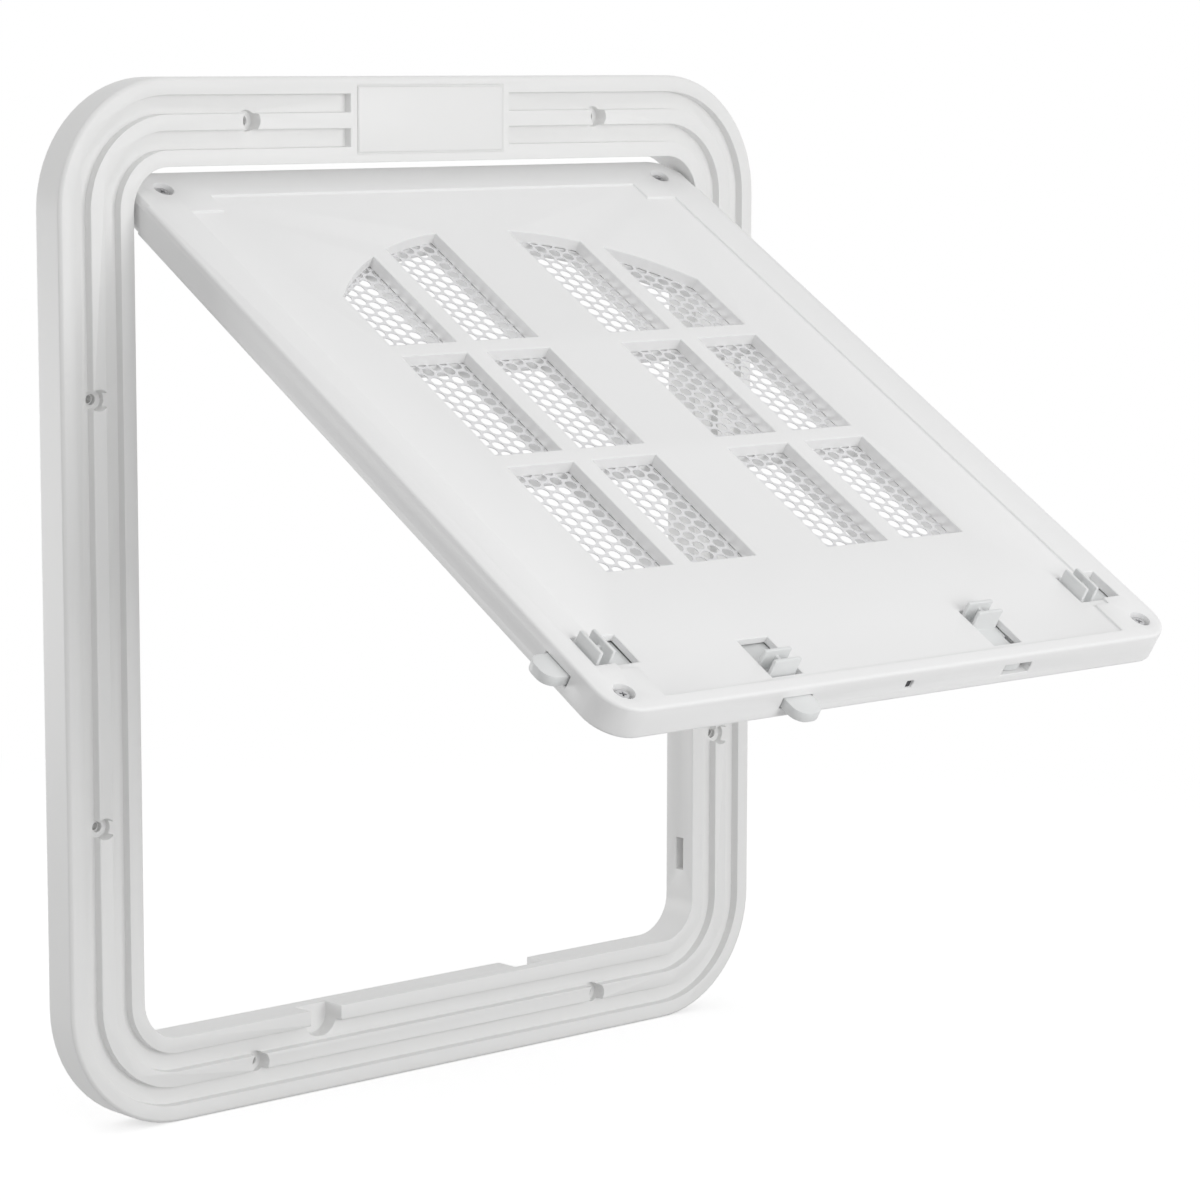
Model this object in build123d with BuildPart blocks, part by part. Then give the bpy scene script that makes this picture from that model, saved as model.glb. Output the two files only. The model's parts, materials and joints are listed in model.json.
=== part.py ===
from build123d import *
from math import cos, radians, sin, sqrt
import os

os.makedirs("parts", exist_ok=True)

# Pet door: a two-part frame, a swinging flap of two shells with a net between them, and four slide bolts.
# Row frame: +X right, -Y towards the room, +Z up; the origin is the middle of the opening, in the plane
# where the two frame halves meet. All sizes are in millimetres.

# Frame
frame_width = 370.0
frame_height = 420.0
band = 35.0
frame_corner = 52.0
half_depth = 8.7
outer_bevel = 1.2
groove_start_1 = 7.0
groove_start_2 = 21.0
groove_width = 7.5
groove_depth = 4.0
plateau_width = 84.6
plate_width = 78.0
plate_height = 28.0
plate_line = 0.7
plate_line_depth = 0.5

# Frame screws, left out as sold: counterbored holes in the front half, pilot holes in the rear half
top_screw_spacing = 185.0
side_screw_spacing = 170.0
screw_hole_r = 2.1
screw_head_hole_r = 4.25
screw_head_floor = 2.2
screw_pilot_r = 1.6

# Flap
axis_drop = 14.0
open_angle = 58.9
side_gap = 2.0
top_gap = 2.5
bottom_gap = 2.5
flap_corner = 15.0
shell = 6.7
flap_bevel = 0.8
hinge_relief_cut = 1.7
hinge_relief_rise = 2.8
hinge_relief_length = 24.0
panel_recess = 1.1
panel_side_inset = 19.0
panel_corner_inset = 35.0
panel_foot_inset = 27.0
panel_top_inset = 17.5
panel_shoulder_inset = 28.5
panel_foot_rise = 22.5
panel_bottom_inset = 6.0

# Windows, in two columns each side of a middle bar and three rows, the top row under one arch
middle_bar = 38.0
window_width = 33.0
window_bar_u = 9.25
window_height = 65.5
window_bar_w = 7.5
window_foot = 76.0
arch_radius = 126.0
arch_centre_drop = 49.7

# Net
net_thickness = 1.0
net_margin = 5.0
net_clearance = 0.3
net_strand = 1.4
net_cells_across = 2

# Slide bolts
bolt_thickness = 4.2
tongue_width = 13.5
tongue_corner = 5.5
slide_width = 17.0
slide_length = 26.0
slide_clearance = 0.3
slot_side_clearance = 0.75
bolt_reach = 9.4
bolt_travel = 11.0
end_clearance = 0.5
edge_wall = 5.0
grip_ribs_pitch = 6.0
grip_rib = 1.6
grip_length = 13.8
grip_slant = 0.3
grip_proud = 4.0
grip_bridge_drop = 2.5
side_grip_setback = 9.5
bottom_grip_setback = 9.0
side_bolt_rise = 34.0
bottom_bolt_u = 58.5
side_pocket_length = 21.5
side_pocket_width = 16.0
side_pocket_inset = 9.5
bottom_pocket_length = 22.0
bottom_pocket_width = 15.5
bottom_pocket_inset = 8.5

# Keepers in the frame
keeper_width = 14.5
keeper_thickness = 4.6
keeper_depth = 11.5
notch_width = 16.0
notch_depth = 12.5
notch_corner = 7.5

# Hinge pins
pin_r = 2.0
pin_running_clearance = 0.05
pin_bearing = 7.0
pin_hold = 10.5
pin_end_room = 0.5

# Flap screws
flap_screw_head_r = 3.2
flap_screw_head = 2.0
flap_screw_r = 1.4
flap_screw_length = 9.0
flap_screw_seat = 3.4
flap_screw_recess_r = 4.2
top_screw_inset = 15.5
top_screw_drop = 12.2
bottom_screw_inset = 11.5
bottom_screw_rise = 11.0

# Closing magnets
magnet_width = 3.6
magnet_thickness = 3.6
magnet_length = 10.0
magnet_setback = 1.2
sill_cover = 2.0
sill_magnet_width = 12.0
sill_magnet_height = 4.0

# Cores that hollow the mouldings from their hidden sides, with ribs left between them
skin = 2.0
rib = 2.0
core_wall = 3.0

# Worked out from the sizes above
opening_width = frame_width - 2 * band
opening_height = frame_height - 2 * band
opening_corner = frame_corner - band
reveal_x = opening_width / 2
sill_z = -opening_height / 2
axis_z = opening_height / 2 - axis_drop
flap_width = opening_width - 2 * side_gap
flap_top = axis_drop - top_gap
flap_bottom = opening_height - axis_drop - bottom_gap
flap_height = flap_top + flap_bottom
flap_edge = flap_width / 2
front = 1
rear = -1

# The flap is drawn in its own plane, opened about the hinge axis: local x is across the flap, local y
# runs up it from the axis and the normal points out of its front face.
flap_plane = Plane(
    origin=(0, 0, axis_z),
    x_dir=(1, 0, 0),
    z_dir=(0, -cos(radians(open_angle)), sin(radians(open_angle))),
)
flap_out = Axis(flap_plane.origin, flap_plane.z_dir)

# The screws stand on the middle line of the band
screw_places = [
    (side * spacing_x / 2, end * spacing_z / 2)
    for spacing_x, spacing_z in (
        (top_screw_spacing, frame_height - band),
        (frame_width - band, side_screw_spacing),
    )
    for side in (-1, 1)
    for end in (-1, 1)
]

# Where the bolts run in the flap
side_bolt_w = side_bolt_rise - flap_bottom
side_keeper_z = axis_z + side_bolt_w
bolt_shoulder = edge_wall + end_clearance
slide_end = bolt_shoulder + slide_length + bolt_travel + end_clearance


def finish(part, name):
    """Label a finished piece and write it out."""
    part.label = name
    export_step(part, f"parts/{name}.step")


def core_field(left, right, bottom, top, columns, rows):
    """A field of equal cells with ribs between them, drawn in the open sketch."""
    cell_width = (right - left + rib) / columns - rib
    cell_height = (top - bottom + rib) / rows - rib
    with Locations(((left + right) / 2, (bottom + top) / 2)):
        with GridLocations(cell_width + rib, cell_height + rib, columns, rows):
            Rectangle(cell_width, cell_height)


# Cuts that both halves of the frame share

with BuildPart() as keeper_slots:
    with Locations((reveal_x, 0, side_keeper_z), (-reveal_x, 0, side_keeper_z)):
        Box(2 * keeper_depth, keeper_thickness, keeper_width)

with BuildPart() as sill_notches:
    # The left notch is open to the front and the right one to the rear, so that each bolt stops the
    # flap in one direction only.
    for side in (-1, 1):
        with BuildSketch(Plane.XZ.offset(side * keeper_thickness / 2)) as notch:
            with Locations((side * bottom_bolt_u, sill_z)):
                Rectangle(notch_width, 2 * notch_depth)
            fillet(notch.vertices().group_by(Axis.Z)[0], notch_corner)
        extrude(amount=-side * (half_depth + keeper_thickness))

with BuildPart() as hinge_sockets:
    for side in (-1, 1):
        with BuildSketch(Plane.YZ.offset(side * (reveal_x - side_gap))):
            with Locations((0, axis_z)):
                Circle(pin_r + pin_running_clearance)
        extrude(amount=side * (side_gap + pin_bearing + pin_end_room))

with BuildPart() as sill_magnet:
    with Locations((0, 0, sill_z - sill_cover - sill_magnet_height / 2)):
        Box(sill_magnet_width, magnet_thickness, sill_magnet_height)


# Cores of the frame: they keep clear of the screws, hinge sockets, keepers and magnet
frame_core_depth = half_depth - groove_depth - skin
boss_r = screw_head_hole_r + core_wall
band_inner_x = reveal_x + core_wall
band_outer_x = frame_width / 2 - core_wall
band_inner_z = opening_height / 2 + core_wall
band_outer_z = frame_height / 2 - core_wall
corner_x = frame_width / 2 - frame_corner
top_boss_x = top_screw_spacing / 2
side_boss_z = side_screw_spacing / 2

with BuildSketch(Plane.XZ) as frame_cores:
    boss_side = top_boss_x - boss_r
    core_field(-boss_side, boss_side, band_inner_z, band_outer_z, 3, 1)
    core_field(-boss_side, boss_side, -band_outer_z, sill_z - notch_depth - core_wall, 3, 1)
    socket_foot = axis_z - pin_r - core_wall
    keeper_head = side_keeper_z + keeper_width / 2 + core_wall
    for side in (-1, 1):
        inner, outer = sorted((side * (top_boss_x + boss_r), side * corner_x))
        core_field(inner, outer, band_inner_z, band_outer_z, 1, 1)
        core_field(inner, outer, -band_outer_z, -band_inner_z, 1, 1)
        inner, outer = sorted((side * band_inner_x, side * band_outer_x))
        core_field(inner, outer, boss_r - side_boss_z, side_boss_z - boss_r, 1, 3)
        core_field(inner, outer, side_boss_z + boss_r, socket_foot, 1, 1)
        core_field(inner, outer, keeper_head, -side_boss_z - boss_r, 1, 1)


def make_frame_half(outward):
    """One half of the frame, from the parting plane out to its face."""
    face_plane = Plane.XZ.offset(outward * half_depth)
    face_axis = Axis((0, 0, 0), (0, -outward, 0))
    with BuildPart() as half:
        with BuildSketch(Plane.XZ):
            RectangleRounded(frame_width, frame_height, frame_corner)
            RectangleRounded(
                opening_width, opening_height, opening_corner, mode=Mode.SUBTRACT
            )
        extrude(amount=outward * half_depth)
        face = half.faces().sort_by(face_axis)[-1]
        chamfer(face.outer_wire().edges(), outer_bevel)

        # Two grooves run round the face and stop at the plain place at the top
        with BuildSketch(face_plane):
            for start in (groove_start_1, groove_start_2):
                RectangleRounded(
                    frame_width - 2 * start,
                    frame_height - 2 * start,
                    frame_corner - start,
                )
                inner = start + groove_width
                RectangleRounded(
                    frame_width - 2 * inner,
                    frame_height - 2 * inner,
                    frame_corner - inner,
                    mode=Mode.SUBTRACT,
                )
            with Locations((0, (frame_height - band) / 2)):
                Rectangle(plateau_width, band, mode=Mode.SUBTRACT)
        extrude(amount=-outward * groove_depth, mode=Mode.SUBTRACT)

        if outward == front:
            # A fine line round a bare plate
            with BuildSketch(face_plane):
                with Locations((0, (frame_height - band) / 2)):
                    Rectangle(plate_width, plate_height)
                    Rectangle(
                        plate_width - 2 * plate_line,
                        plate_height - 2 * plate_line,
                        mode=Mode.SUBTRACT,
                    )
            extrude(amount=-plate_line_depth, mode=Mode.SUBTRACT)
            with Locations(face_plane):
                with Locations(*screw_places):
                    CounterBoreHole(
                        screw_hole_r,
                        screw_head_hole_r,
                        half_depth - screw_head_floor,
                        half_depth,
                    )
        else:
            with Locations(Plane.XZ):
                with Locations(*screw_places):
                    Hole(screw_pilot_r, half_depth)
        extrude(frame_cores.sketch, amount=outward * frame_core_depth, mode=Mode.SUBTRACT)
        add(keeper_slots.part, mode=Mode.SUBTRACT)
        add(sill_notches.part, mode=Mode.SUBTRACT)
        add(hinge_sockets.part, mode=Mode.SUBTRACT)
        add(sill_magnet.part, mode=Mode.SUBTRACT)
    return half.part


# Windows and net

column_places = [
    side * place
    for side in (-1, 1)
    for place in (
        middle_bar / 2 + window_width / 2,
        middle_bar / 2 + window_width * 3 / 2 + window_bar_u,
    )
]
row_feet = [
    window_foot - flap_bottom + row * (window_height + window_bar_w) for row in range(3)
]
arch_centre_w = row_feet[2] - arch_centre_drop

with BuildSketch(flap_plane) as windows:
    with Locations(
        *[(u, foot + window_height / 2) for u in column_places for foot in row_feet[:2]]
    ):
        Rectangle(window_width, window_height)

with BuildSketch(flap_plane) as arched_windows:
    with Locations(*[(u, row_feet[2]) for u in column_places]):
        Rectangle(window_width, arch_radius, align=(Align.CENTER, Align.MIN))
    with Locations((0, arch_centre_w)):
        Circle(arch_radius, mode=Mode.INTERSECT)


net_cell_pitch = window_width / (net_cells_across + 0.5)
net_row_pitch = net_cell_pitch * sqrt(3) / 2
net_cell_r = (net_cell_pitch - net_strand) / sqrt(3)
net_half_width = column_places[-1] + window_width / 2 + net_margin
net_foot = row_feet[0] - net_margin
net_head = arch_centre_w + arch_radius + net_margin
net_rows = int((window_height - 2 * net_cell_r) / net_row_pitch) + 1

with BuildSketch(flap_plane) as net_seat:
    with Locations((0, (net_foot + net_head) / 2)):
        Rectangle(2 * net_half_width, net_head - net_foot)

with BuildPart() as mesh_screen:
    with BuildSketch(flap_plane.offset(-net_thickness / 2)):
        with Locations((0, (net_foot + net_head) / 2)):
            Rectangle(
                2 * (net_half_width - net_clearance),
                net_head - net_foot - 2 * net_clearance,
            )
        # Six-sided gaps, packed behind each window and fewer where the arch is low
        for u in column_places:
            for row, foot in enumerate(row_feet):
                inner_column = abs(u) < middle_bar / 2 + window_width
                rows = net_rows
                if row == 2:
                    rows = net_rows + 1 if inner_column else net_rows - 1
                for step in range(rows):
                    shift = net_cell_pitch / 4 * (1 if step % 2 else -1)
                    w = foot + net_cell_r + net_row_pitch * step
                    with Locations((u + shift, w)):
                        with GridLocations(net_cell_pitch, 1, net_cells_across, 1):
                            RegularPolygon(
                                net_cell_r, 6, rotation=30, mode=Mode.SUBTRACT
                            )
    extrude(amount=net_thickness)


# Slide bolts: each is drawn in a plane of its own, with x outwards along its slide, y across it and the
# origin at its shoulder


def bolt_plane(u, w, outward_angle, shot):
    """Plane of a bolt that leaves the flap's edge at the given point, drawn back or shot out."""
    travelled = bolt_shoulder + (0 if shot else bolt_travel)
    edge = flap_plane * Location((u, w, 0), (0, 0, outward_angle))
    return Plane(edge * Location((-travelled, 0, 0)))


bolt_places = {
    "side_bolt_left": (-flap_edge, side_bolt_w, 180, True),
    "side_bolt_right": (flap_edge, side_bolt_w, 0, False),
    "bottom_bolt_left": (-bottom_bolt_u, -flap_bottom, -90, True),
    "bottom_bolt_right": (bottom_bolt_u, -flap_bottom, -90, False),
}


def make_bolt(plane, grip_setback):
    """A flat slide with a round-cornered tongue in front and a two-ribbed thumb grip on top."""
    tongue_length = bolt_shoulder + bolt_reach
    with BuildPart() as bolt:
        with BuildSketch(plane.offset(-bolt_thickness / 2)) as outline:
            with Locations((-slide_length, 0)):
                Rectangle(slide_length, slide_width, align=(Align.MIN, Align.CENTER))
            Rectangle(tongue_length, tongue_width, align=(Align.MIN, Align.CENTER))
        extrude(amount=bolt_thickness)
        tip_edges = bolt.edges().filter_by(Axis(plane.origin, plane.z_dir))
        fillet(
            tip_edges.sort_by(Axis(plane.origin, plane.x_dir))[-2:],
            tongue_corner,
        )
        # Thumb grip: two slanted ribs across the slide, joined by a lower bridge
        grip_top = shell + grip_proud
        for rib in (-1, 1):
            rib_x = -grip_setback + rib * grip_ribs_pitch / 2 - grip_rib / 2
            rib_plane = Plane(
                origin=plane.from_local_coords((rib_x, 0, 0)),
                x_dir=plane.y_dir,
                z_dir=plane.x_dir,
            )
            with BuildSketch(rib_plane):
                with BuildLine():
                    Polyline(
                        (-grip_length / 2, 0),
                        (grip_length / 2, 0),
                        (grip_length / 2 - grip_slant, grip_top),
                        (-grip_length / 2 + grip_slant, grip_top),
                        close=True,
                    )
                make_face()
            extrude(amount=grip_rib)
        with BuildSketch(plane):
            with Locations((-grip_setback, 0)):
                Rectangle(grip_ribs_pitch, grip_rib)
        extrude(amount=grip_top - grip_bridge_drop)
    return bolt.part


# Room for the slides, cut from both shells, and the thumb pockets, cut from the front shell

with BuildPart() as bolt_ways:
    for u, w, outward_angle, shot in bolt_places.values():
        way = bolt_plane(u, w, outward_angle, True).offset(
            -bolt_thickness / 2 - slide_clearance
        )
        with BuildSketch(way):
            with Locations((end_clearance, 0)):
                Rectangle(
                    slide_end - edge_wall,
                    slide_width + 2 * slide_clearance,
                    align=(Align.MAX, Align.CENTER),
                )
            Rectangle(
                2 * edge_wall,
                tongue_width + 2 * slot_side_clearance,
                align=(Align.MIN, Align.CENTER),
            )
        extrude(amount=bolt_thickness + 2 * slide_clearance)

with BuildSketch(flap_plane) as thumb_pockets:
    for side in (-1, 1):
        with Locations(
            (side * (flap_edge - side_pocket_inset - side_pocket_length / 2), side_bolt_w)
        ):
            Rectangle(side_pocket_length, side_pocket_width)
        with Locations(
            (
                side * bottom_bolt_u,
                bottom_pocket_inset + bottom_pocket_length / 2 - flap_bottom,
            )
        ):
            Rectangle(bottom_pocket_width, bottom_pocket_length)


# Hinge pins, flap screws and closing magnet

with BuildPart() as hinge_pins:
    for side in (-1, 1):
        inner_end = side * (reveal_x + pin_bearing - pin_hold - side_gap - pin_bearing)
        with BuildSketch(Plane.YZ.offset(inner_end)):
            with Locations((0, axis_z)):
                Circle(pin_r)
        extrude(amount=side * (pin_hold + side_gap + pin_bearing))
hinge_pins_by_x = hinge_pins.solids().sort_by(Axis.X)

flap_screw_places = [
    (side * (flap_edge - inset), w)
    for inset, w in (
        (top_screw_inset, flap_top - top_screw_drop),
        (bottom_screw_inset, bottom_screw_rise - flap_bottom),
    )
    for side in (-1, 1)
]

with BuildPart() as flap_screws:
    with BuildSketch(flap_plane.offset(flap_screw_seat)):
        with Locations(*flap_screw_places):
            Circle(flap_screw_head_r)
    extrude(amount=flap_screw_head)
    with BuildSketch(flap_plane.offset(flap_screw_seat)):
        with Locations(*flap_screw_places):
            Circle(flap_screw_r)
    extrude(amount=-flap_screw_length)

with BuildPart() as flap_magnet:
    with BuildSketch(flap_plane.offset(-magnet_thickness / 2)):
        with Locations((0, magnet_setback - flap_bottom)):
            Rectangle(magnet_width, magnet_length, align=(Align.CENTER, Align.MIN))
    extrude(amount=magnet_thickness)

with BuildPart() as magnet_slot:
    with BuildSketch(flap_plane.offset(-magnet_thickness / 2)):
        with Locations((0, -flap_bottom)):
            Rectangle(
                magnet_width,
                magnet_setback + magnet_length,
                align=(Align.CENTER, Align.MIN),
            )
    extrude(amount=magnet_thickness)


# Cores of the flap: they keep clear of the net, hinge pins, screws, bolts and magnet
flap_core_depth = shell - panel_recess - skin
core_shoulder = net_head + core_wall
core_foot = core_wall - flap_bottom
bolt_head = slide_end - flap_bottom + core_wall
bolt_side = slide_width / 2 + slide_clearance + core_wall

with BuildSketch(flap_plane) as flap_cores:
    top_side = flap_edge - top_screw_inset - flap_screw_recess_r - core_wall
    core_field(-top_side, top_side, core_shoulder, flap_top - core_wall, 6, 1)
    core_field(-net_half_width, net_half_width, bolt_head, net_foot - core_wall, 5, 1)
    for side in (-1, 1):
        inner, outer = sorted((side * (net_half_width + core_wall), side * (flap_edge - core_wall)))
        core_field(inner, outer, side_bolt_w + bolt_side, core_shoulder - rib, 1, 6)
        inner, outer = sorted(
            (side * (magnet_width / 2 + core_wall), side * (bottom_bolt_u - bolt_side))
        )
        core_field(inner, outer, core_foot, bolt_head - rib, 1, 1)
        inner, outer = sorted(
            (side * (bottom_bolt_u + bolt_side), side * (flap_edge - slide_end - core_wall))
        )
        core_field(inner, outer, core_foot, bolt_head - rib, 1, 1)


# The flap's side edges are cut back beside the hinge, to pass the round top corners of the opening
relief_plane = Plane(
    origin=flap_plane.from_local_coords((0, flap_top, 0)),
    x_dir=flap_plane.x_dir,
    z_dir=flap_plane.y_dir,
)
with BuildPart() as hinge_reliefs:
    with BuildSketch(relief_plane):
        for side in (-1, 1):
            for face in (-1, 1):
                with BuildLine():
                    Polyline(
                        (side * (flap_edge - hinge_relief_cut), face * shell),
                        (side * flap_edge, face * (shell - hinge_relief_rise)),
                        (side * (flap_edge + side_gap), face * (shell - hinge_relief_rise)),
                        (side * (flap_edge + side_gap), face * (shell + side_gap)),
                        (side * (flap_edge - hinge_relief_cut), face * (shell + side_gap)),
                        close=True,
                    )
                make_face()
    extrude(amount=-hinge_relief_length)


def make_shell(outward):
    """One shell of the flap, from the middle plane out to its face."""
    face_plane = flap_plane.offset(outward * shell)
    with BuildPart() as half:
        with BuildSketch(flap_plane):
            with Locations((0, (flap_top - flap_bottom) / 2)):
                RectangleRounded(flap_width, flap_height, flap_corner)
        extrude(amount=outward * shell)
        chamfer(
            half.faces().sort_by(flap_out)[-1 if outward == front else 0].edges(),
            flap_bevel,
        )

        # The middle of the face is stepped down inside a raised border that widens at the corners
        with BuildSketch(face_plane):
            for width, top, bottom in (
                (
                    flap_width - 2 * panel_corner_inset,
                    flap_top - panel_top_inset,
                    panel_bottom_inset - flap_bottom,
                ),
                (
                    flap_width - 2 * panel_side_inset,
                    flap_top - panel_shoulder_inset,
                    panel_foot_rise - flap_bottom,
                ),
                (
                    flap_width - 2 * panel_foot_inset,
                    flap_top - panel_shoulder_inset,
                    panel_bottom_inset - flap_bottom,
                ),
            ):
                with Locations((0, (top + bottom) / 2)):
                    Rectangle(width, top - bottom)
        extrude(amount=-outward * panel_recess, mode=Mode.SUBTRACT)

        extrude(windows.sketch, amount=outward * shell, mode=Mode.SUBTRACT)
        extrude(arched_windows.sketch, amount=outward * shell, mode=Mode.SUBTRACT)
        extrude(net_seat.sketch, amount=outward * net_thickness / 2, mode=Mode.SUBTRACT)
        extrude(flap_cores.sketch, amount=outward * flap_core_depth, mode=Mode.SUBTRACT)
        add(bolt_ways.part, mode=Mode.SUBTRACT)
        add(hinge_pins.part, mode=Mode.SUBTRACT)
        add(magnet_slot.part, mode=Mode.SUBTRACT)
        if outward == front:
            extrude(thumb_pockets.sketch, amount=shell, mode=Mode.SUBTRACT)
            with BuildSketch(flap_plane.offset(flap_screw_seat)):
                with Locations(*flap_screw_places):
                    Circle(flap_screw_recess_r)
            extrude(amount=shell, mode=Mode.SUBTRACT)
        add(flap_screws.part, mode=Mode.SUBTRACT)
        add(hinge_reliefs.part, mode=Mode.SUBTRACT)
    return half.part


finish(make_frame_half(front), "front_frame")
finish(make_frame_half(rear), "rear_frame")
finish(sill_magnet.part, "sill_magnet")
finish(make_shell(front), "flap_front_shell")
finish(make_shell(rear), "flap_rear_shell")
finish(mesh_screen.part, "mesh_screen")
finish(flap_screws.part, "flap_screws")
finish(flap_magnet.part, "flap_magnet")
for name, (u, w, outward_angle, shot) in bolt_places.items():
    setback = side_grip_setback if name.startswith("side") else bottom_grip_setback
    finish(make_bolt(bolt_plane(u, w, outward_angle, shot), setback), name)
for name, solid in zip(("hinge_pin_left", "hinge_pin_right"), hinge_pins_by_x):
    finish(Part(solid.wrapped), name)
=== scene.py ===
"""Dresses the white pet door: moulded plastic, honeycomb net, sunk screws, floor and camera."""

import json
import math

import bmesh
import bpy
from bpy.props import FloatProperty, FloatVectorProperty, PointerProperty
from mathutils import Matrix, Vector


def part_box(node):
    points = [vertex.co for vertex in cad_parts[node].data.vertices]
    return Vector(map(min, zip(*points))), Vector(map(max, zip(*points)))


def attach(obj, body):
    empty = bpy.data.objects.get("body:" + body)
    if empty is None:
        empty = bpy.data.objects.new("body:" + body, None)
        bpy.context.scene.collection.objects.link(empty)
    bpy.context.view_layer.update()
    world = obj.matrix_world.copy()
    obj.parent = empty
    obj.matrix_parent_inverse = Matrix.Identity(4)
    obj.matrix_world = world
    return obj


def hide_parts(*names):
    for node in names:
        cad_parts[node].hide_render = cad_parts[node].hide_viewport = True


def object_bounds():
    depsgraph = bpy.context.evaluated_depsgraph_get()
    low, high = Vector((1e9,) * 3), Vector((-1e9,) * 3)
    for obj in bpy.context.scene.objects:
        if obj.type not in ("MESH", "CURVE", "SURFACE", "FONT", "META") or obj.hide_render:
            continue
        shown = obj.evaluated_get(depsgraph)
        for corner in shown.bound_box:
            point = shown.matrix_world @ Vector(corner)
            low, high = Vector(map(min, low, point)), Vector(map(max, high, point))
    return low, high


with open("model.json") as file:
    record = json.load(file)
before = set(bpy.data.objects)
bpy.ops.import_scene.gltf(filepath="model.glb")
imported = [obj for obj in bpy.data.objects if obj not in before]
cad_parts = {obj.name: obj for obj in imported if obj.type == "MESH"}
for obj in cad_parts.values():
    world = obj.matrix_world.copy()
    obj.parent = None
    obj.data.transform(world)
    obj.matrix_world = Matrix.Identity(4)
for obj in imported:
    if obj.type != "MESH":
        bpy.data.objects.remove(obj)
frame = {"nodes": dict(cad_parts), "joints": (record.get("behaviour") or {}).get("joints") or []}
CAD_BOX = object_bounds()

bl_info = {
    "name": "Pet Door Finish",
    "version": (1, 0, 0),
    "blender": (4, 5, 0),
    "location": "View3D > Sidebar > Pet Door",
    "description": "Finishes the pet door's frame, flap, net and bolts and sets up a plain studio",
    "category": "Object",
}

MM = 0.001
HUNDREDTH_MM = 5  # decimals of a length in metres

# Faces that turn less than FLAT are one face, and edges that turn more than SHARP are rounded
FLAT = math.radians(0.5)
SHARP = math.radians(32)
EDGE_STEPS = 2

# Heights this near are the same, and corners this near are joined
CLOSE = 0.02 * MM
SAME_CORNER = 0.002 * MM
CELL_CORNER = 0.05 * MM

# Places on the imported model
HINGE = next(j for j in frame["joints"] if j["name"] == "flap_hinge")
AXIS_Z = HINGE["pos_m"][2]
SLIDE = next(j for j in frame["joints"] if j["name"] == "bottom_bolt_right_slide")
DOWN_FLAP = Vector(SLIDE["axis"]).normalized()
ACROSS_FLAP = Vector((1.0, 0.0, 0.0))
OUT_OF_FLAP = ACROSS_FLAP.cross(-DOWN_FLAP)

# The flap's screws: turn of each in degrees, corners round the shank, and the steps of the head,
# each with its part of the head's height and how much of the ring below it keeps
SCREW_TURNS = (20, 65, -12, 48)
SCREW_CORNERS = 40
HEAD_STEPS = ((0.5, 1.0), (0.3, 0.93), (0.2, 0.82))

# The net's cells
CELL_SIDES = 6
CELL_TURN = math.radians(30)

# Moulded plastic: a fine spark-eroded skin over broad, shallow swells
PLASTIC_IOR = 1.46
PLASTIC_SPECULAR = 0.45
SKIN_GRAIN = (2600.0, 3.0)
SKIN_BUMP = (0.10, 0.05 * MM)
SWELL_GRAIN = (18.0, 2.0)
SWELL_BUMP = (0.06, 0.6 * MM)
SHEEN_SPREAD = 0.05
FACE_CLOUD = 0.02
NET_CLOUD = 0.08
NET_ROUGHNESS = 0.5

# Zinc plated steel
STEEL_ROUGHNESS = 0.34
STEEL_SHEEN = (0.26, 0.44)
STEEL_GRAIN = (1800.0, 4.0)
STEEL_BUMP = (0.12, 0.04 * MM)

# Ferrite
FERRITE_ROUGHNESS = 0.7
FERRITE_GRAIN = (3000.0, 3.0)
FERRITE_BUMP = (0.3, 0.05 * MM)

# Studio, in metres: each lamp's name, place and width
FLOOR_WIDTH = 12
FLOOR_GREY = (0.60, 0.60, 0.60)
FLOOR_ROUGHNESS = 0.9
WHITE = (1, 1, 1, 1)
LAMP_AIM = Vector((0, -0.1, 0))
LAMPS = (
    ("front", Vector((0.25, -2.0, 0.25)), 1.2),
    ("top", Vector((-0.4, -0.7, 1.8)), 1.2),
    ("back", Vector((-0.5, 0.8, -0.1)), 0.5),
)
NEAREST_SEEN = 0.05


class PetDoorPlastics(bpy.types.PropertyGroup):
    """Colours and surface of the mouldings."""

    frame_colour: FloatVectorProperty(
        name="Frame colour", description="White of the two frame halves", subtype="COLOR",
        default=(0.84, 0.84, 0.835), min=0.0, max=1.0,
    )
    flap_colour: FloatVectorProperty(
        name="Flap colour", description="White of the two flap shells", subtype="COLOR",
        default=(0.87, 0.87, 0.87), min=0.0, max=1.0,
    )
    grip_colour: FloatVectorProperty(
        name="Bolt colour", description="White of the slide bolts", subtype="COLOR",
        default=(0.76, 0.77, 0.77), min=0.0, max=1.0,
    )
    net_colour: FloatVectorProperty(
        name="Net colour", description="White of the net", subtype="COLOR",
        default=(0.82, 0.82, 0.83), min=0.0, max=1.0,
    )
    steel_colour: FloatVectorProperty(
        name="Steel colour", description="Zinc plated screws and pins", subtype="COLOR",
        default=(0.55, 0.55, 0.56), min=0.0, max=1.0,
    )
    magnet_colour: FloatVectorProperty(
        name="Magnet colour", description="Dark ferrite", subtype="COLOR",
        default=(0.05, 0.05, 0.055), min=0.0, max=1.0,
    )
    roughness: FloatProperty(
        name="Roughness", description="Roughness of the satin plastic", default=0.42,
        min=0.0, max=1.0, subtype="FACTOR",
    )
    edge_round: FloatProperty(
        name="Edge rounding", description="Radius that softens the moulded edges",
        default=0.45 * MM, min=0.0, unit="LENGTH",
    )


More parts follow.
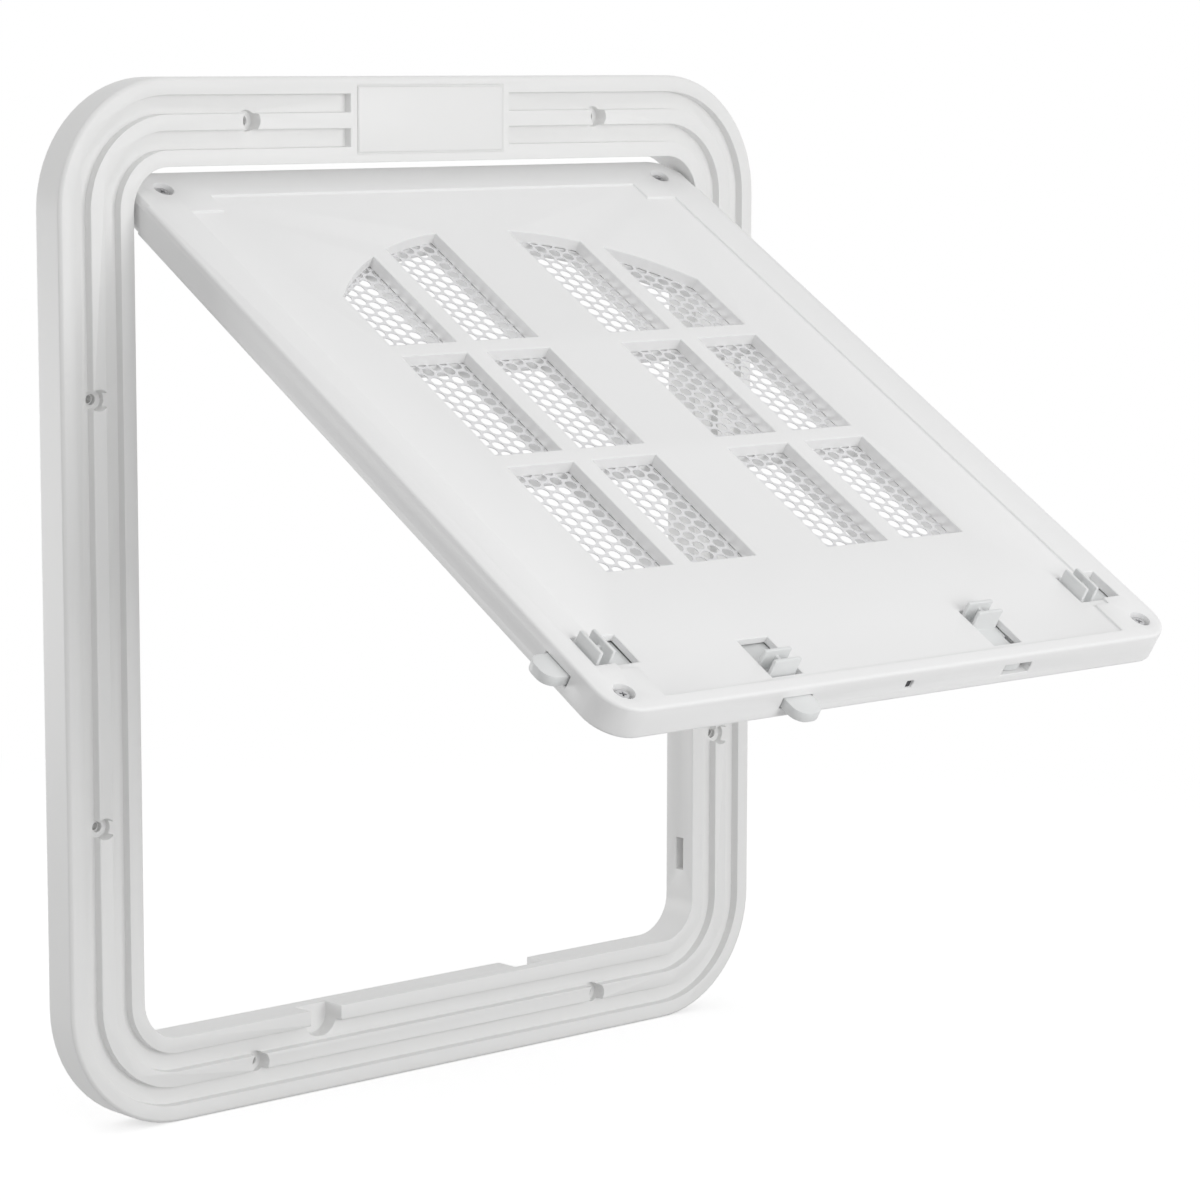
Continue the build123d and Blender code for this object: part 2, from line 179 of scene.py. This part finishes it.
class PetDoorNet(bpy.types.PropertyGroup):
    """Honeycomb net between the flap shells."""

    pitch: FloatProperty(
        name="Pitch", description="Distance between the middles of two gaps",
        default=6.1 * MM, min=1 * MM, unit="LENGTH",
    )
    strand: FloatProperty(
        name="Strand", description="Width of a strand", default=0.72 * MM,
        min=0.1 * MM, unit="LENGTH",
    )
    thickness: FloatProperty(
        name="Thickness", description="Thickness of the net", default=0.4 * MM,
        min=0.1 * MM, unit="LENGTH",
    )


class PetDoorScrews(bpy.types.PropertyGroup):
    """Cross-recessed screws at the flap's corners."""

    pitch: FloatProperty(
        name="Ridge pitch", description="Distance between two ridges of the shank",
        default=1.1 * MM, min=0.2 * MM, unit="LENGTH",
    )
    root: FloatProperty(
        name="Root", description="Radius between the ridges as a part of the shank's",
        default=0.75, min=0.1, max=1.0, subtype="FACTOR",
    )
    tip: FloatProperty(
        name="Tip", description="Radius of the point as a part of the shank's",
        default=0.2, min=0.05, max=1.0, subtype="FACTOR",
    )
    cross_span: FloatProperty(
        name="Cross span", description="Length of each slot of the cross",
        default=3.9 * MM, min=0.5 * MM, unit="LENGTH",
    )
    cross_width: FloatProperty(
        name="Cross width", description="Width of each slot of the cross",
        default=1.0 * MM, min=0.1 * MM, unit="LENGTH",
    )
    cross_depth: FloatProperty(
        name="Cross depth", description="Depth of the cross",
        default=1.3 * MM, min=0.1 * MM, unit="LENGTH",
    )
    cross_taper: FloatProperty(
        name="Cross taper", description="Size of the cross at its floor as a part of its mouth",
        default=0.45, min=0.1, max=1.0, subtype="FACTOR",
    )


class PetDoorStudio(bpy.types.PropertyGroup):
    """Camera, lamps and floor."""

    camera_place: FloatVectorProperty(
        name="Camera place", description="Where the camera stands", subtype="TRANSLATION",
        default=(-1.05265, -1.2933, 0.2204), unit="LENGTH",
    )
    camera_turn: FloatProperty(
        name="Camera turn", description="Turn of the camera to the right of straight ahead",
        default=math.radians(41.75), unit="ROTATION",
    )
    camera_drop: FloatProperty(
        name="Camera drop", description="How far the camera looks down",
        default=math.radians(7.85), unit="ROTATION",
    )
    camera_roll: FloatProperty(
        name="Camera roll", description="Roll about the line of sight",
        default=math.radians(0.121), unit="ROTATION",
    )
    lens: FloatProperty(name="Lens", description="Focal length in millimetres", default=119.46)
    sky: FloatProperty(
        name="Sky strength", description="Even light from all round", default=0.61, min=0.0
    )
    front_power: FloatProperty(
        name="Front power", description="Watts of the broad lamp in front", default=16.5, min=0.0
    )
    top_power: FloatProperty(
        name="Top power", description="Watts of the lamp overhead", default=2.5, min=0.0
    )
    back_power: FloatProperty(
        name="Back power", description="Watts of the low lamp behind, at the left", default=3.2,
        min=0.0,
    )
    floor_lift: FloatProperty(
        name="Floor lift", description="White added to the floor near the door", default=0.6
    )
    fade_start: FloatProperty(
        name="Fade start", description="Where the floor begins to fade to white",
        default=0.35, unit="LENGTH",
    )
    fade_end: FloatProperty(
        name="Fade end", description="Where the floor is plain white", default=0.8, unit="LENGTH"
    )


def values(group):
    """The scene's own values of a group."""
    return getattr(bpy.context.scene, GROUPS[group])


def deselect():
    """Nothing is selected and object mode is on."""
    if bpy.context.object and bpy.context.object.mode != "OBJECT":
        bpy.ops.object.mode_set(mode="OBJECT")
    bpy.ops.object.select_all(action="DESELECT")


def pick(piece):
    """Only this piece is selected and active."""
    deselect()
    piece.select_set(True)
    bpy.context.view_layer.objects.active = piece


def apply_modifiers(piece):
    """Every modifier of the piece becomes part of its mesh."""
    pick(piece)
    for modifier in list(piece.modifiers):
        bpy.ops.object.modifier_apply(modifier=modifier.name)


def settle(piece):
    """The piece's object goes to the origin, with its place kept in the mesh."""
    pick(piece)
    bpy.ops.object.transform_apply(location=True, rotation=True, scale=True)


def flap_point(u, v, n):
    """A point on the open flap: u across, v down from the hinge axis, n out of the front face."""
    return Vector((0, 0, AXIS_Z)) + ACROSS_FLAP * u + DOWN_FLAP * v + OUT_OF_FLAP * n


def flap_drop(point):
    """How far down the open flap a point lies from the hinge axis."""
    return (Vector((0, point.y, point.z)) - Vector((0, 0, AXIS_Z))).dot(DOWN_FLAP)


def flap_rise(point):
    """How far a point stands out of the open flap's middle plane, towards its front."""
    return (Vector((0, point.y, point.z)) - Vector((0, 0, AXIS_Z))).dot(OUT_OF_FLAP)


def frame_rise(point):
    """How far a point stands behind the plane where the two frame halves meet."""
    return point.y


def node_points(node):
    """The corners of a CAD node."""
    return [vertex.co for vertex in frame["nodes"][node].data.vertices]


def middle(numbers):
    """Half way between the lowest and the highest of some numbers."""
    return (min(numbers) + max(numbers)) / 2


def repeat(piece, step, count):
    """The piece is repeated in steps, with the corners that meet made one."""
    array = piece.modifiers.new("repeat", "ARRAY")
    array.use_relative_offset = False
    array.use_constant_offset = True
    array.constant_offset_displace = step
    array.count = count
    array.use_merge_vertices = True
    array.merge_threshold = CELL_CORNER


def flap_turn():
    """Rotation that lays a flat drawing on the flap, x across it and y up it."""
    return Matrix((ACROSS_FLAP, -DOWN_FLAP, OUT_OF_FLAP)).transposed().to_4x4()


def node_tree(name, colour, roughness, metallic=0.0):
    """A new material with its shader's own sockets set."""
    material = bpy.data.materials.new(name)
    material.use_nodes = True
    shader = material.node_tree.nodes["Principled BSDF"]
    shader.inputs["Base Color"].default_value = (*colour, 1.0)
    shader.inputs["Roughness"].default_value = roughness
    shader.inputs["Metallic"].default_value = metallic
    return material, material.node_tree.nodes, material.node_tree.links, shader


def grain(nodes, links, scale, detail):
    """Noise on object coordinates, with its scale per metre and its detail."""
    place = nodes.new("ShaderNodeTexCoord")
    noise = nodes.new("ShaderNodeTexNoise")
    noise.inputs["Scale"].default_value = scale
    noise.inputs["Detail"].default_value = detail
    links.new(place.outputs["Object"], noise.inputs["Vector"])
    return noise


def bump(nodes, links, noise, strength, depth):
    """Relief that follows a noise, with its strength and its depth in metres."""
    relief = nodes.new("ShaderNodeBump")
    relief.inputs["Strength"].default_value = strength
    relief.inputs["Distance"].default_value = depth
    links.new(noise.outputs["Fac"], relief.inputs["Height"])
    return relief


def sheen(nodes, links, noise, low, high):
    """Roughness between two values that follows a noise."""
    spread = nodes.new("ShaderNodeMapRange")
    spread.inputs["To Min"].default_value = low
    spread.inputs["To Max"].default_value = high
    links.new(noise.outputs["Fac"], spread.inputs["Value"])
    return spread.outputs["Result"]


def seen_directly(nodes, links):
    """1 where the camera, a gloss or a clear piece sees it, and 0 where it lights the object."""
    path = nodes.new("ShaderNodeLightPath")
    total = path.outputs["Is Camera Ray"]
    for ray in ("Is Glossy Ray", "Is Transmission Ray"):
        either = nodes.new("ShaderNodeMath")
        either.operation = "MAXIMUM"
        links.new(total, either.inputs[0])
        links.new(path.outputs[ray], either.inputs[1])
        total = either.outputs["Value"]
    return total


def moulded_plastic(name, colour, roughness, cloud):
    """Satin injection-moulded plastic: a fine spark-eroded skin and a faint cloudiness."""
    material, nodes, links, shader = node_tree(name, colour, roughness)
    shader.inputs["IOR"].default_value = PLASTIC_IOR
    shader.inputs["Specular IOR Level"].default_value = PLASTIC_SPECULAR
    skin = grain(nodes, links, *SKIN_GRAIN)
    swell = grain(nodes, links, *SWELL_GRAIN)
    fine = bump(nodes, links, skin, *SKIN_BUMP)
    broad = bump(nodes, links, swell, *SWELL_BUMP)
    links.new(fine.outputs["Normal"], broad.inputs["Normal"])
    links.new(broad.outputs["Normal"], shader.inputs["Normal"])
    tint = nodes.new("ShaderNodeMix")
    tint.data_type = "RGBA"
    tint.inputs["A"].default_value = (*colour, 1.0)
    tint.inputs["B"].default_value = (*[c * (1.0 - cloud) for c in colour], 1.0)
    links.new(swell.outputs["Fac"], tint.inputs["Factor"])
    links.new(tint.outputs["Result"], shader.inputs["Base Color"])
    gloss = sheen(nodes, links, skin, roughness - SHEEN_SPREAD, roughness + SHEEN_SPREAD)
    links.new(gloss, shader.inputs["Roughness"])
    return material


def plated_steel(name, colour):
    """Zinc plated steel with fine turning marks."""
    material, nodes, links, shader = node_tree(name, colour, STEEL_ROUGHNESS, metallic=1.0)
    marks = grain(nodes, links, *STEEL_GRAIN)
    relief = bump(nodes, links, marks, *STEEL_BUMP)
    links.new(relief.outputs["Normal"], shader.inputs["Normal"])
    links.new(sheen(nodes, links, marks, *STEEL_SHEEN), shader.inputs["Roughness"])
    return material


def ferrite(name, colour):
    """Dull sintered magnet."""
    material, nodes, links, shader = node_tree(name, colour, FERRITE_ROUGHNESS)
    grit = grain(nodes, links, *FERRITE_GRAIN)
    relief = bump(nodes, links, grit, *FERRITE_BUMP)
    links.new(relief.outputs["Normal"], shader.inputs["Normal"])
    return material


def dress(piece, material):
    """The piece wears this one material."""
    piece.data.materials.clear()
    piece.data.materials.append(material)


def material_for(key):
    """The finish with this key, made on first use."""
    if key in bpy.data.materials:
        return bpy.data.materials[key]
    colours = values(PetDoorPlastics)
    makers = {
        "frame_white": (moulded_plastic, colours.frame_colour, colours.roughness, FACE_CLOUD),
        "flap_white": (moulded_plastic, colours.flap_colour, colours.roughness, FACE_CLOUD),
        "bolt_white": (moulded_plastic, colours.grip_colour, colours.roughness, FACE_CLOUD),
        "net_white": (moulded_plastic, colours.net_colour, NET_ROUGHNESS, NET_CLOUD),
        "plated_steel": (plated_steel, colours.steel_colour),
        "ferrite": (ferrite, colours.magnet_colour),
    }
    maker, *looks = makers[key]
    return maker(key, *looks)


def leave_sharp(piece, height, levels):
    """The chosen edges that lie at one of these heights are let go."""
    mesh = bmesh.from_edit_mesh(piece.data)
    for edge in mesh.edges:
        ends = [height(corner.co) for corner in edge.verts]
        if any(max(abs(end - level) for end in ends) < CLOSE for level in levels):
            edge.select_set(False)
    bmesh.update_edit_mesh(piece.data)


def lift_seat(piece, old, new):
    """The corners at one height over the flap's middle plane go to another height."""
    for corner in piece.data.vertices:
        if abs(flap_rise(corner.co) - old) < CLOSE:
            corner.co += OUT_OF_FLAP * (new - old)


def soften(node, body, slot, finish, height=flap_rise, levels=(), split=False, seat=None):
    """A merged copy of a CAD node with its moulded edges rounded; it stands for the node.

    Edges that lie at one of the levels stay sharp, because another piece meets them there. Split
    divides the faces that turn inwards. Seat gives the net seat's height and its new height.
    """
    deselect()
    piece = bpy.data.objects.new(f"{node}_finished", frame["nodes"][node].data.copy())
    bpy.context.scene.collection.objects.link(piece)
    if seat:
        lift_seat(piece, *seat)
    pick(piece)
    bpy.ops.object.mode_set(mode="EDIT")
    bpy.ops.mesh.select_all(action="SELECT")
    bpy.ops.mesh.remove_doubles(threshold=SAME_CORNER)
    bpy.ops.mesh.dissolve_limited(angle_limit=FLAT)
    if split:
        bpy.ops.mesh.vert_connect_concave()
    bpy.ops.mesh.select_all(action="DESELECT")
    bpy.ops.mesh.select_mode(type="EDGE")
    bpy.ops.mesh.edges_select_sharp(sharpness=SHARP)
    leave_sharp(piece, height, levels)
    bpy.ops.mesh.bevel(
        offset=values(PetDoorPlastics).edge_round,
        segments=EDGE_STEPS,
        affect="EDGES",
        clamp_overlap=False,
        loop_slide=False,
    )
    bpy.ops.mesh.select_mode(type="VERT")
    bpy.ops.object.mode_set(mode="OBJECT")
    bpy.ops.object.shade_smooth_by_angle(angle=SHARP)
    finish_piece(piece, body, finish, node)


def finish_piece(piece, body, finish, node):
    """The piece wears its finish, rides on its body and stands for its CAD node."""
    dress(piece, material_for(finish))
    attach(piece, body)
    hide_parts(node)


class PETDOOR_OT_frame(bpy.types.Operator):
    """Finish the two halves of the frame and the magnet under its sill"""

    bl_idname = "petdoor.finish_frame"
    bl_label = "Finish Frame"

    def execute(self, context):
        for node in ("front_frame", "rear_frame"):
            soften(node, "frame", "frame_plastic", "frame_white", frame_rise, [0.0])
        dress(frame["nodes"]["sill_magnet"], material_for("ferrite"))
        return {"FINISHED"}


class PETDOOR_OT_flap(bpy.types.Operator):
    """Finish the flap's two shells, pins and magnet"""

    bl_idname = "petdoor.finish_flap"
    bl_label = "Finish Flap"

    def execute(self, context):
        net_rises = [flap_rise(point) for point in node_points("mesh_screen")]
        seat = (min(net_rises), max(net_rises) - values(PetDoorNet).thickness - CLOSE)
        meeting = [0.0, max(net_rises), *seat]
        shell = ("flap", "flap_plastic", "flap_white", flap_rise, meeting)
        soften("flap_front_shell", *shell, split=True)
        soften("flap_rear_shell", *shell, seat=seat)
        for node in ("hinge_pin_left", "hinge_pin_right"):
            soften(node, "flap", "pin_steel", "plated_steel")
        dress(frame["nodes"]["flap_magnet"], material_for("ferrite"))
        return {"FINISHED"}


class PETDOOR_OT_screws(bpy.types.Operator):
    """Make the flap's four cross-recessed screws from one"""

    bl_idname = "petdoor.drive_screws"
    bl_label = "Drive Screws"

    def execute(self, context):
        points = node_points("flap_screws")
        foot, seat, top = sorted({round(flap_rise(point), HUNDREDTH_MM) for point in points})
        half_way = middle([flap_drop(point) for point in points])
        groups = [
            [p for p in points if p.x * side > 0 and (flap_drop(p) > half_way) == low]
            for side in (-1, 1)
            for low in (False, True)
        ]
        head_r = self.half_width(groups[0], seat, top)
        shank_r = self.half_width(groups[0], foot, foot)
        master = self.turned_screw(seat - foot, shank_r, top - seat, head_r)
        self.cut_cross(master, top - seat)
        screws = []
        for group, turn in zip(groups, SCREW_TURNS):
            screw = bpy.data.objects.new("flap_screw", master.data.copy())
            bpy.context.scene.collection.objects.link(screw)
            u = middle([point.x for point in group])
            v = middle([flap_drop(point) for point in group])
            spin = Matrix.Rotation(math.radians(turn), 4, "Z")
            screw.data.transform(Matrix.Translation(flap_point(u, v, seat)) @ flap_turn() @ spin)
            screws.append(screw)
        bpy.data.objects.remove(master)
        pick(screws[0])
        for screw in screws:
            screw.select_set(True)
        bpy.ops.object.join()
        piece = context.object
        piece.name = "flap_screws_finished"
        bpy.ops.object.shade_smooth_by_angle(angle=SHARP)
        finish_piece(piece, "flap", "plated_steel", "flap_screws")
        return {"FINISHED"}

    def half_width(self, group, low, high):
        """Half the width of one screw between two heights over the flap."""
        across = [p.x for p in group if low - CLOSE < flap_rise(p) < high + CLOSE]
        return (max(across) - min(across)) / 2

    def raise_ring(self, lift, widen):
        """The chosen disc is drawn up and made wider or narrower."""
        bpy.ops.mesh.extrude_region_move(TRANSFORM_OT_translate={"value": (0, 0, lift)})
        bpy.ops.transform.resize(value=(widen, widen, 1))

    def turned_screw(self, length, shank_r, head, head_r):
        """A pointed, ridged shank under a low domed head; the head's seat is at height 0."""
        screws = values(PetDoorScrews)
        root = screws.root
        deselect()
        bpy.ops.mesh.primitive_circle_add(
            vertices=SCREW_CORNERS,
            radius=shank_r * screws.tip,
            fill_type="NGON",
            location=(0, 0, -length),
        )
        piece = bpy.context.object
        settle(piece)
        bpy.ops.object.mode_set(mode="EDIT")
        bpy.ops.mesh.select_all(action="SELECT")
        self.raise_ring(screws.pitch, root / screws.tip)
        ridges = int((length - 2 * screws.pitch) / screws.pitch)
        for _ in range(ridges):
            self.raise_ring(screws.pitch / 2, 1 / root)
            self.raise_ring(screws.pitch / 2, root)
        self.raise_ring(length - (ridges + 1) * screws.pitch, 1 / root)
        self.raise_ring(0, head_r / shank_r)
        for part, keep in HEAD_STEPS:
            self.raise_ring(head * part, keep)
        bpy.ops.mesh.select_all(action="SELECT")
        bpy.ops.mesh.normals_make_consistent(inside=False)
        bpy.ops.object.mode_set(mode="OBJECT")
        return piece

    def cut_cross(self, piece, head):
        """Two tapered slots are cut into the head."""
        screws = values(PetDoorScrews)
        for span, width in (
            (screws.cross_span, screws.cross_width),
            (screws.cross_width, screws.cross_span),
        ):
            deselect()
            bpy.ops.mesh.primitive_cube_add(
                size=1, location=(0, 0, head), scale=(span, width, 2 * screws.cross_depth)
            )
            cutter = bpy.context.object
            settle(cutter)
            for corner in cutter.data.vertices:
                if corner.co.z < head:
                    corner.co.x *= screws.cross_taper
                    corner.co.y *= screws.cross_taper
            cut = piece.modifiers.new("cross", "BOOLEAN")
            cut.operation = "DIFFERENCE"
            cut.solver = "EXACT"
            cut.object = cutter
            apply_modifiers(piece)
            bpy.data.objects.remove(cutter)


class PETDOOR_OT_bolts(bpy.types.Operator):
    """Finish the four slide bolts"""

    bl_idname = "petdoor.finish_bolts"
    bl_label = "Finish Bolts"

    def execute(self, context):
        for side in ("left", "right"):
            for row in ("side", "bottom"):
                node = f"{row}_bolt_{side}"
                soften(node, node, "bolt_plastic", "bolt_white")
        return {"FINISHED"}


class PETDOOR_OT_net(bpy.types.Operator):
    """Make the honeycomb net from one six-sided cell"""

    bl_idname = "petdoor.weave_net"
    bl_label = "Weave Net"

    def execute(self, context):
        net = values(PetDoorNet)
        column_step = net.pitch * math.sqrt(3) / 2
        cell_radius = net.pitch / math.sqrt(3)
        low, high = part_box("mesh_screen")
        head = flap_drop(high)
        foot = flap_drop(low)
        columns = int((high.x - low.x - 2 * cell_radius) / column_step) + 1
        rows = int((foot - head - net.pitch / 2) / net.pitch)
        deselect()
        bpy.ops.mesh.primitive_circle_add(
            vertices=CELL_SIDES,
            radius=cell_radius,
            fill_type="NGON",
            rotation=(0, 0, CELL_TURN),
        )
        piece = context.object
        piece.name = "honeycomb_net"
        settle(piece)
        repeat(piece, (0, -net.pitch, 0), rows)
        repeat(piece, (column_step, net.pitch / 2, 0), 2)
        repeat(piece, (2 * column_step, 0, 0), columns // 2)
        apply_modifiers(piece)
        bpy.ops.object.mode_set(mode="EDIT")
        bpy.ops.mesh.select_all(action="SELECT")
        bpy.ops.mesh.remove_doubles(threshold=CLOSE)
        bpy.ops.mesh.select_all(action="SELECT")
        bpy.ops.mesh.inset(thickness=net.strand / 2, use_individual=True, use_boundary=True)
        bpy.ops.mesh.delete(type="FACE")
        bpy.ops.object.mode_set(mode="OBJECT")
        rounding = piece.modifiers.new("round", "SUBSURF")
        rounding.levels = rounding.render_levels = 1
        wall = piece.modifiers.new("wall", "SOLIDIFY")
        wall.thickness = net.thickness
        wall.offset = 0.0
        apply_modifiers(piece)
        corners = [Vector(corner) for corner in piece.bound_box]
        centre = sum(corners, Vector()) / len(corners)
        rise = max(flap_rise(point) for point in node_points("mesh_screen")) - net.thickness / 2
        place = Matrix.Translation(flap_point(0, (head + foot) / 2, rise)) @ flap_turn()
        piece.data.transform(place @ Matrix.Translation(-centre))
        bpy.ops.object.shade_smooth_by_angle(angle=SHARP)
        finish_piece(piece, "flap", "net_white", "mesh_screen")
        return {"FINISHED"}


class PETDOOR_OT_stage(bpy.types.Operator):
    """Set the floor, lamps, world and camera"""

    bl_idname = "petdoor.set_stage"
    bl_label = "Set Stage"

    def execute(self, context):
        studio = values(PetDoorStudio)
        deselect()
        bpy.ops.mesh.primitive_plane_add(size=FLOOR_WIDTH, location=(0, 0, CAD_BOX[0].z))
        floor = context.object
        floor.name = "floor"
        dress(floor, self.floor_finish(studio))
        self.light_world(studio)
        self.hang_lamps(studio)
        self.stand_camera(studio)
        return {"FINISHED"}

    def floor_finish(self, studio):
        """Matt white that keeps the soft shadow near the door and fades to plain white."""
        material, nodes, links, shader = node_tree("floor_white", FLOOR_GREY, FLOOR_ROUGHNESS)
        shader.inputs["Specular IOR Level"].default_value = 0.0
        lift = nodes.new("ShaderNodeEmission")
        lift.inputs["Color"].default_value = WHITE
        lift.inputs["Strength"].default_value = studio.floor_lift
        near = nodes.new("ShaderNodeAddShader")
        links.new(shader.outputs["BSDF"], near.inputs[0])
        links.new(lift.outputs["Emission"], near.inputs[1])
        far = nodes.new("ShaderNodeEmission")
        far.inputs["Color"].default_value = WHITE
        far.inputs["Strength"].default_value = 1.0
        place = nodes.new("ShaderNodeTexCoord")
        reach = nodes.new("ShaderNodeVectorMath")
        reach.operation = "LENGTH"
        fade = nodes.new("ShaderNodeMapRange")
        fade.interpolation_type = "SMOOTHSTEP"
        fade.inputs["From Min"].default_value = studio.fade_start
        fade.inputs["From Max"].default_value = studio.fade_end
        links.new(place.outputs["Object"], reach.inputs[0])
        links.new(reach.outputs["Value"], fade.inputs["Value"])
        shown = nodes.new("ShaderNodeMixShader")
        links.new(fade.outputs["Result"], shown.inputs["Fac"])
        links.new(near.outputs["Shader"], shown.inputs[1])
        links.new(far.outputs["Emission"], shown.inputs[2])
        mix = nodes.new("ShaderNodeMixShader")
        links.new(seen_directly(nodes, links), mix.inputs["Fac"])
        links.new(shader.outputs["BSDF"], mix.inputs[1])
        links.new(shown.outputs["Shader"], mix.inputs[2])
        links.new(mix.outputs["Shader"], nodes["Material Output"].inputs["Surface"])
        return material

    def light_world(self, studio):
        """Even light all round, seen as plain white."""
        world = bpy.data.worlds.new("studio_white")
        bpy.context.scene.world = world
        world.use_nodes = True
        nodes, links = world.node_tree.nodes, world.node_tree.links
        back = nodes["Background"]
        back.inputs["Color"].default_value = WHITE
        back.inputs["Strength"].default_value = studio.sky
        seen = nodes.new("ShaderNodeBackground")
        seen.inputs["Color"].default_value = WHITE
        seen.inputs["Strength"].default_value = 1.0
        mix = nodes.new("ShaderNodeMixShader")
        links.new(seen_directly(nodes, links), mix.inputs["Fac"])
        links.new(back.outputs["Background"], mix.inputs[1])
        links.new(seen.outputs["Background"], mix.inputs[2])
        links.new(mix.outputs["Shader"], nodes["World Output"].inputs["Surface"])

    def hang_lamps(self, studio):
        """A broad lamp in front, one overhead and a small low one behind, at the left."""
        for name, place, width in LAMPS:
            deselect()
            bpy.ops.object.light_add(type="AREA", location=place)
            lamp = bpy.context.object
            lamp.name = f"{name}_lamp"
            lamp.rotation_euler = (LAMP_AIM - place).to_track_quat("-Z", "Y").to_euler()
            lamp.data.size = width
            lamp.data.energy = getattr(studio, f"{name}_power")

    def stand_camera(self, studio):
        """The camera at the photograph's angle."""
        deselect()
        turn = (
            Matrix.Rotation(-studio.camera_turn, 4, "Z")
            @ Matrix.Rotation(math.pi / 2 - studio.camera_drop, 4, "X")
            @ Matrix.Rotation(studio.camera_roll, 4, "Z")
        )
        bpy.ops.object.camera_add(location=studio.camera_place, rotation=turn.to_euler())
        camera = bpy.context.object
        camera.name = "photo_camera"
        camera.data.lens = studio.lens
        camera.data.clip_start = NEAREST_SEEN
        bpy.context.scene.camera = camera
        bpy.context.scene.view_settings.view_transform = "Standard"


class PETDOOR_PT_panel(bpy.types.Panel):
    """Sidebar list of the pet door's steps"""

    bl_label = "Pet Door"
    bl_idname = "PETDOOR_PT_panel"
    bl_space_type = "VIEW_3D"
    bl_region_type = "UI"
    bl_category = "Pet Door"

    def draw(self, context):
        for group in GROUPS:
            for name in group.__annotations__:
                self.layout.prop(values(group), name)
        for operator in STEPS:
            self.layout.operator(operator.bl_idname)


# Each group of values and its name on the scene
GROUPS = {
    PetDoorPlastics: "pet_door_plastics",
    PetDoorNet: "pet_door_net",
    PetDoorScrews: "pet_door_screws",
    PetDoorStudio: "pet_door_studio",
}
STEPS = (
    PETDOOR_OT_frame,
    PETDOOR_OT_flap,
    PETDOOR_OT_screws,
    PETDOOR_OT_bolts,
    PETDOOR_OT_net,
    PETDOOR_OT_stage,
)


def register():
    for group, name in GROUPS.items():
        bpy.utils.register_class(group)
        setattr(bpy.types.Scene, name, PointerProperty(type=group))
    for operator in STEPS:
        bpy.utils.register_class(operator)
    bpy.utils.register_class(PETDOOR_PT_panel)


def unregister():
    bpy.utils.unregister_class(PETDOOR_PT_panel)
    for operator in reversed(STEPS):
        bpy.utils.unregister_class(operator)
    for group, name in reversed(GROUPS.items()):
        delattr(bpy.types.Scene, name)
        bpy.utils.unregister_class(group)


def main():
    register()
    bpy.ops.petdoor.finish_frame()
    bpy.ops.petdoor.finish_flap()
    bpy.ops.petdoor.drive_screws()
    bpy.ops.petdoor.finish_bolts()
    bpy.ops.petdoor.weave_net()
    bpy.ops.petdoor.set_stage()


if __name__ == "__main__":
    main()
